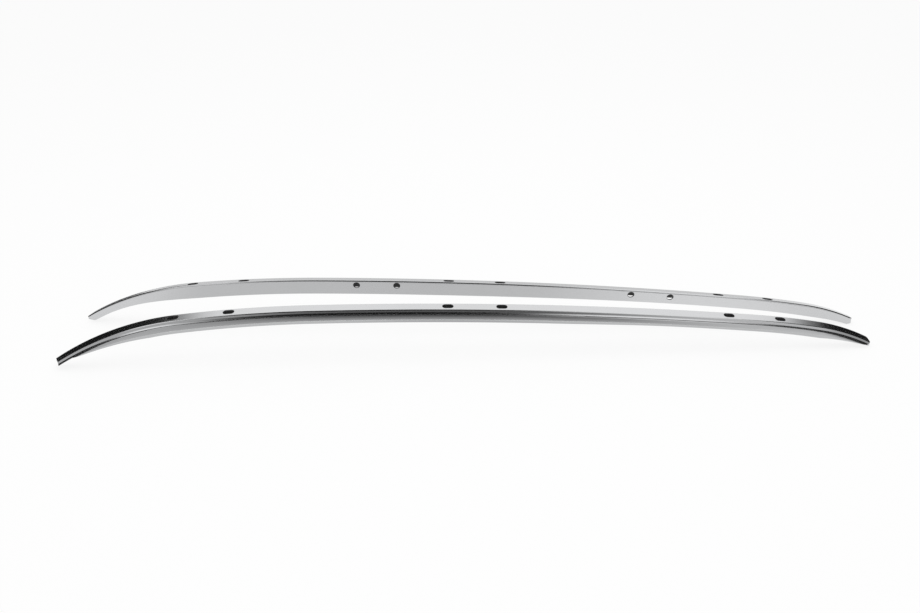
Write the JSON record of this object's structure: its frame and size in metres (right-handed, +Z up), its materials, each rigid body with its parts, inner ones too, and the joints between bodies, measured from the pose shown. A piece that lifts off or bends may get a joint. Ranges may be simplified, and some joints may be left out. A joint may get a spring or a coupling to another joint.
{
  "type": "roof side rail pair",
  "caption": "Left and right arched roof side rails: bent aluminium channel with slotted top faces and round holes in the inner walls.",
  "frame": {"origin": "centre of the pair's footprint, on the floor that the rail tips stand on", "axes": "+X along the vehicle toward the rear, front ends at -X; +Z up; the left rail stands on the -Y side and the right rail on the +Y side"},
  "size_m": [1.653, 0.2224, 0.1101],
  "materials": {
    "bright_aluminium": "bright anodised, semi-mirror with a fine lengthwise grain"
  },
  "bodies": {
    "root": {"rail_left": "bright_aluminium", "rail_right": "bright_aluminium"}
  },
  "joints": []
}
